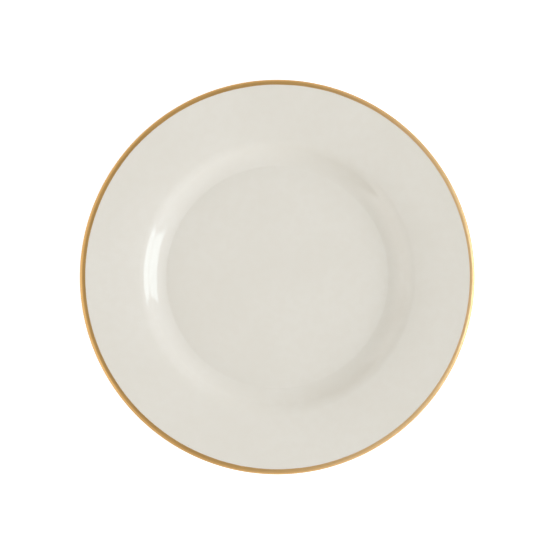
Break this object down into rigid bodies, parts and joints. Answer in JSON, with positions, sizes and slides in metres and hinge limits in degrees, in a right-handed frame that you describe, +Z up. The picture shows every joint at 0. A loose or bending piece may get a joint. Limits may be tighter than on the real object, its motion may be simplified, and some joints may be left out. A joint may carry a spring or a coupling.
{
  "type": "dinner plate",
  "caption": "Round cream-glazed china dinner plate with a shallow well, a broad gently rising rim, a gold line round its rolled lip and a foot ring.",
  "frame": {"origin": "centre of the foot circle, at the level of the surface that the plate stands on", "axes": "+Z up out of the well, along the plate's axis of symmetry; X and Y lie in the surface that it stands on"},
  "size_m": [0.267, 0.267, 0.021],
  "materials": {
    "bare_porcelain": "fired clay, fine matte grain, seen only at the dry foot tip",
    "cream_glaze": "smooth glossy cream glaze",
    "fired_gold": "bright fired-on gold with a soft brushed shine"
  },
  "bodies": {
    "root": {"porcelain_body": "bare_porcelain", "glaze_coat": "cream_glaze", "foot_recess_glaze": "cream_glaze", "gold_rim_line": "fired_gold"}
  },
  "joints": []
}
